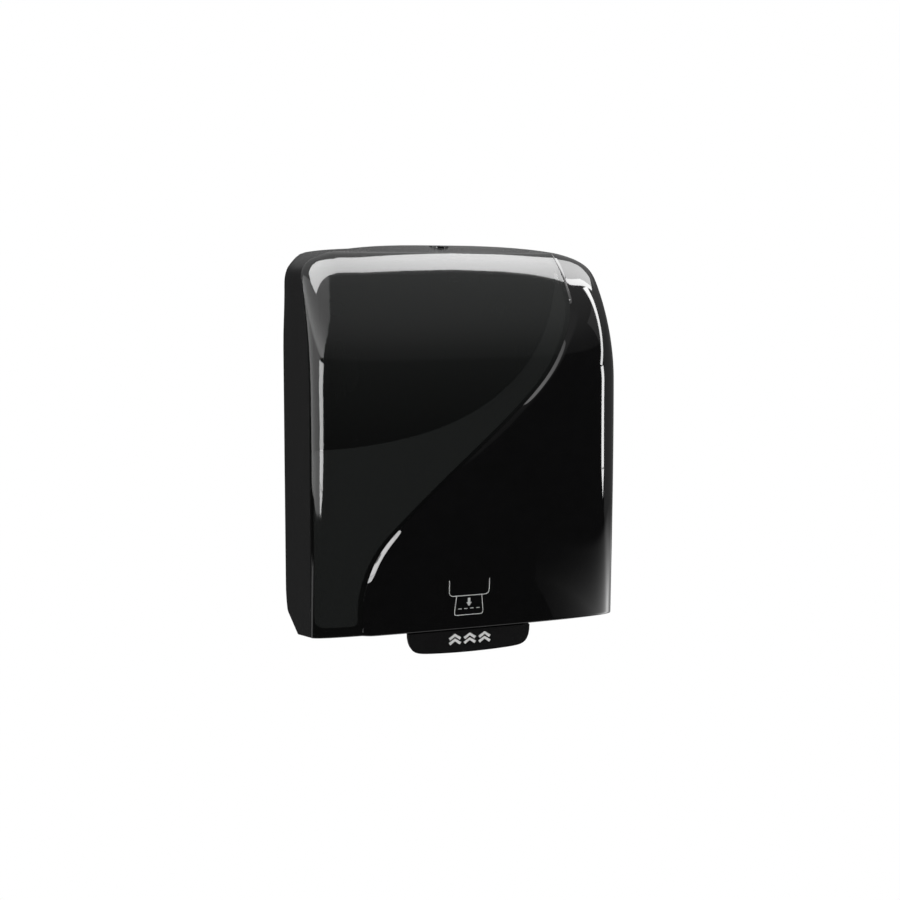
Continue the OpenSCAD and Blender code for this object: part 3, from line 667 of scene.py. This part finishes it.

# Lever spring
# A torsion spring of bright wire is wound round the lever's bar and brings the lever back.
# One leg stands on the cover frame's lower bar, the other lies behind the lever's ear.

TURNS, TURN_STEPS, WIRE_SIDES = 5.5, 32, 12
WIRE_R, COIL_R = 0.6, 6.0
FOOT_GAP, FOOT_DROP = 0.1, 2
EAR_LEG = ((0, -1.2, -6), (0, -0.6, -6), (0, -1.5, -12))
lever_axis = next(joint for joint in frame["joints"] if joint["name"] == "lever_push")["pos_m"]
spring_low, spring_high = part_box("lever_spring")
coil_x0 = spring_low.x / MM + WIRE_R
coil_x1 = spring_high.x / MM - WIRE_R
coil_d, coil_z = -lever_axis[1] / MM, lever_axis[2] / MM
spring = bmesh.new()
ring = bmesh.ops.create_circle(spring, segments=WIRE_SIDES, radius=WIRE_R)["verts"]
bmesh.ops.translate(spring, verts=ring, vec=(coil_x0, -coil_d - COIL_R, coil_z))
steps = int(TURNS * TURN_STEPS)
wound = bmesh.ops.spin(
    spring, geom=ring + spring.edges[:], cent=(0, -coil_d, coil_z), axis=(1, 0, 0),
    dvec=((coil_x1 - coil_x0) / steps, 0, 0), angle=-math.tau * TURNS, steps=steps,
)["geom_last"]


def leg(shape, loop, moves):
    """Runs a wire on from a loop of its edges by a few moves."""
    for move in moves:
        edges = [e for e in loop if isinstance(e, bmesh.types.BMEdge)]
        loop = bmesh.ops.extrude_edge_only(shape, edges=edges)["geom"]
        tips = [v for v in loop if isinstance(v, bmesh.types.BMVert)]
        bmesh.ops.translate(shape, verts=tips, vec=move)
    bmesh.ops.contextual_create(shape, geom=tips)


foot_z = spring_low.z / MM + FOOT_GAP
first = [e for e in spring.edges if all(v in ring for v in e.verts)]
leg(spring, first, [(0, 0, -FOOT_DROP), (0, 0, foot_z - coil_z + FOOT_DROP)])
leg(spring, wound, EAR_LEG)
bmesh.ops.scale(spring, verts=spring.verts, vec=(MM, MM, MM))
bmesh.ops.recalc_face_normals(spring, faces=spring.faces)
spring_steel = ground_steel("spring_steel", (0.66, 0.67, 0.68), 0.2, "x")
spring_wire = placed(spring, "spring_wire", spring_steel)
axis_spots = [Vector((x, -coil_d, coil_z)) * MM for x in (coil_x0, coil_x1)]
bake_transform(spring_wire)
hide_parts("lever_spring")

# Studio
# A pale floor far below, a large soft light overhead with dimmer cards round it, narrow strips and dim
# walls at the sides, a weak sky that is lighter overhead, and the camera of the photograph.

FLOOR_X, FLOOR_NEAR, FLOOR_FAR, FLOOR_Z = 3.0, -0.45, 1.3, -0.95
FLOOR_GREY = (0.82, 0.82, 0.82, 1)
WHITE = (1, 1, 1, 1)


def ray_wire(tree, kind):
    """A wire that is 1 for rays of one kind."""
    return Wire(tree).node("LightPath", {}, {}, "Is " + kind + " Ray")


def card(name, corners, material):
    """A flat card with its corners in order."""
    shape = bmesh.new()
    shape.faces.new([shape.verts.new(corner) for corner in corners])
    made = placed(shape, name, material)
    return made


def lit_finish(name):
    """A new material whose node tree is empty, and that tree."""
    made = bpy.data.materials.new(name)
    made.use_nodes = True
    made.node_tree.nodes.clear()
    return made, made.node_tree


floor_white, tree = lit_finish("floor_white")
shown = ray_wire(tree, "Camera")
for kind in ("Glossy", "Transmission"):
    shown = shown.math("MAXIMUM", shown, ray_wire(tree, kind))
paint = shown.node("BsdfDiffuse", {}, {"Color": FLOOR_GREY})
white = shown.node("Emission", {}, {"Color": WHITE, "Strength": 1.0})
mixed = shown.node("MixShader", {}, {0: shown, 1: paint, 2: white})
shown.node("OutputMaterial", {}, {"Surface": mixed})
plan = ((-FLOOR_X, FLOOR_NEAR), (FLOOR_X, FLOOR_NEAR), (FLOOR_X, FLOOR_FAR), (-FLOOR_X, FLOOR_FAR))
card("floor", [(x, y, FLOOR_Z) for x, y in plan], floor_white)


def soft_box(name, corners, strength):
    """A lit card that only gloss shows; its strength is worked out from the place on it."""
    glow, tree = lit_finish(name + "_light")
    start = Wire(tree)
    spot = start.node("TexCoord", {}, {}, "Object")
    x, y, z = (start.node("SeparateXYZ", {}, {0: spot}, axis) for axis in "XYZ")
    light = start.node("Emission", {}, {"Color": WHITE, "Strength": strength(x, y, z)})
    start.node("OutputMaterial", {}, {"Surface": light})
    made = card(name, corners, glow)
    made.visible_camera = False
    made.visible_diffuse = False
    made.visible_shadow = False


ROOF, LEFT, RIGHT, BACK = 1.16, -1.3, 0.8, 1.5
SKY_LOW, SIDE_WALL, BACK_ROOF = 0.03, 0.28, 0.8
EDGE_STRIP, LEFT_STRIP, RIGHT_STRIP, RIGHT_ARM = 13, 12, 17, 15


def ceiling(name, plan, strength, lift=0):
    """A card overhead, a little higher where it reaches behind another."""
    soft_box(name, [(x, y, ROOF + lift) for x, y in plan], strength)


def band_glow(x, y, z):
    """The overhead light, strongest at its left end and weaker towards the wall."""
    return 10 - 3.6 * y.ramp(0.1, 0.85) + 2.8 * (1 - x.ramp(-0.25, 0.05))


plan = [(-0.32, -0.31), (-0.22, -0.21), (-0.16, -0.13), (-0.11, -0.07), (-0.05, -0.02), (0.04, 0.005)]
plan += [(0.09, 0.02), (0.18, 0.07), (0.29, 0.1), (0.4, 0.065), (0.47, 0.01), (0.53, -0.05), (0.6, -0.12)]
plan += [(0.6, 0.35), (0.54, 0.45), (0.51, 0.53), (0.48, 0.72), (0.4, 0.88), (0.23, 0.59), (0.12, 0.4)]
plan += [(-0.01, 0.29), (-0.06, 0.3), (-0.12, 0.28), (-0.19, 0.18), (-0.3, 0.02), (-0.34, -0.13)]
ceiling("top_box", plan, band_glow)
shared = [(0.605, 0.01), (0.7, 0.03), (0.78, 0.07), (0.91, 0.06), (1.05, 0.07)]
plan = [(1.05, 0.25), (0.92, 0.3), (0.83, 0.38), (0.74, 0.42), (0.65, 0.4), (0.605, 0.36)]
ceiling("shoulder_box", shared + plan, lambda x, y, z: 7.3 - 2.7 * y.ramp(0.1, 0.6))
plan = [(0.605, -0.06), (0.71, -0.06), (0.81, -0.03), (1.05, 0.005)]
ceiling("shoulder_strip", plan + shared[::-1], lambda x, y, z: EDGE_STRIP)
plan = [(-0.1, -0.05), (-0.11, -0.14), (-0.16, -0.35), (-0.26, -0.66), (-0.44, -1.01), (-0.8, -1.5)]
plan += [(-0.95, -1.71), (-1.16, -1.97), (LEFT, -1.97), (LEFT, 0.3), (-0.6, 0.1), (-0.34, -0.1)]
plan += [(-0.31, -0.25), (-0.22, -0.16), (-0.16, -0.08), (-0.11, -0.02)]
ceiling("left_roof", plan, lambda x, y, z: 4.2 - 2.6 * x.ramp(-1.1, -0.2), lift=0.002)
plan = [(LEFT, -0.1), (-0.3, -0.1), (-0.05, 0.15), (0.2, 0.3), (0.5, 0.2), (-LEFT, 0.2), (-LEFT, BACK)]
ceiling("back_roof", plan + [(LEFT, BACK)], lambda x, y, z: BACK_ROOF, lift=0.004)
plan = [(LEFT, 0.4), (-LEFT, 0.4), (-LEFT, ROOF), (LEFT, ROOF)]
soft_box("back_wall", [(x, BACK, z) for x, z in plan], lambda x, y, z: 0.2 + 0.1 * x.ramp(0, 0.6))
plan = [(0.35, ROOF), (-1.8, ROOF), (-1.35, -0.5), (-0.29, -0.3), (0.35, -0.28)]
soft_box("left_wall", [(LEFT, y, z) for y, z in plan], lambda x, y, z: 2 + 1.2 * y.ramp(-1, 0.2))


def corner_glow(x, y, z):
    """Light that grows to the right and downwards, and fades out behind the object's front."""
    slope = 0.39 * y
    across = x.math("EXPONENT", 4.2 * x.math("MINIMUM", y + 0.42, 0))
    down = x.math("EXPONENT", 16.6 * x.math("MINIMUM", slope - z - 0.27, 0))
    top = (1 - z.ramp(-0.32, -0.21)) * (1 - (z - slope).ramp(-0.13, -0.09))
    ends = top * (1 - 0.85 * y.ramp(-0.5, -0.1))
    return SKY_LOW + (SIDE_WALL - SKY_LOW) * y.ramp(-0.56, -0.5) + 9.5 * across * down * ends


plan = [(-1.8, -0.6), (-1.8, -1), (0.1, -1), (0.1, -0.2), (-0.3, -0.22), (-0.5, -0.28), (-0.7, -0.36)]
soft_box("corner_box", [(RIGHT, y, z) for y, z in plan], corner_glow)
right_end = [(1.128, -0.847, -0.278), (1.181, -0.762, -0.273), (1.152, -0.798, -0.365)]
soft_box("right_tip", right_end, lambda x, y, z: RIGHT_STRIP)
left_end = [(-1.024, -1, -0.289), (-0.856, -1.136, -0.327), (-0.92, -1.083, -0.391)]
soft_box("left_tip", left_end + [(-0.981, -1.033, -0.378)], lambda x, y, z: LEFT_STRIP)

sky = bpy.data.worlds.new("sky")
bpy.context.scene.world = sky
sky.use_nodes = True
sky.node_tree.nodes.clear()
camera_ray = ray_wire(sky.node_tree, "Camera")
way = camera_ray.node("TexCoord", {}, {}, "Generated")
height = way.node("SeparateXYZ", {}, {0: way}, "Z")
dim = SKY_LOW + 0.08 * height.ramp(0.46, 0.5) + 0.25 * height.ramp(0.5, 1.0)
strength = camera_ray + (1 - camera_ray) * dim
backdrop = height.node("Background", {}, {"Color": WHITE, "Strength": strength})
height.node("OutputWorld", {}, {"Surface": backdrop})


def soft_light(name, place, target, size, radiance, along=(0, 0, 1), mirrored=True):
    """A rectangular soft light: its place, what it faces, its width and length, its radiance."""
    data = bpy.data.lights.new(name, "AREA")
    data.shape = "RECTANGLE"
    data.size, data.size_y = size
    data.energy = radiance * math.pi * size[0] * size[1]
    made = bpy.data.objects.new(name, data)
    bpy.context.scene.collection.objects.link(made)
    back = (Vector(place) - Vector(target)).normalized()
    side = Vector(along).cross(back).normalized()
    turn = Matrix((side, back.cross(side), back)).transposed()
    made.matrix_world = Matrix.Translation(place) @ turn.to_4x4()
    made.visible_camera = False
    made.visible_glossy = mirrored


soft_light("top_light", (0.2, 0.25, ROOF), (0, -0.05, 0), (1.2, 0.9), 4.5, (0, 1, 0), mirrored=False)
soft_light("front_fill", (0.1, -1.9, 0.9), (0, -0.15, 0), (1.6, 1.2), 1.5, mirrored=False)
slant = (0.13, -0.105, 0.95)
soft_light("left_strip", (-0.8854, -1.1249, 0.137), (-0.136, -0.19, 0.1), (0.22, 0.904), LEFT_STRIP, slant)
slant = (0, -0.06, 1)
soft_light("right_strip", (1.1624, -0.8268, 0.0102), (0.13, -0.19, 0), (0.1, 0.573), RIGHT_STRIP, slant)
slant = (0.17, 0.81, 1.34)
soft_light("right_arm", (1.2585, -0.5372, 0.9191), (0.13, -0.19, 0.1), (0.1, 1.54), RIGHT_ARM, slant)
soft_light("right_wall", (1.4, 0.17, 0.55), (0.13, 0.17, 0.55), (2.05, 2.1), SIDE_WALL)

YAW, PITCH = math.radians(15.61), math.radians(-4)
camera = bpy.data.objects.new("camera", bpy.data.cameras.new("camera"))
bpy.context.scene.collection.objects.link(camera)
camera.data.sensor_width = 36
camera.data.lens = 43.59
camera.data.shift_y = -0.103
camera.location = (-0.28236, -1.13583, 0.13887)
camera.rotation_euler = (math.pi / 2 + PITCH, 0, -YAW)
bpy.context.scene.camera = camera
bpy.context.scene.view_settings.view_transform = "Standard"
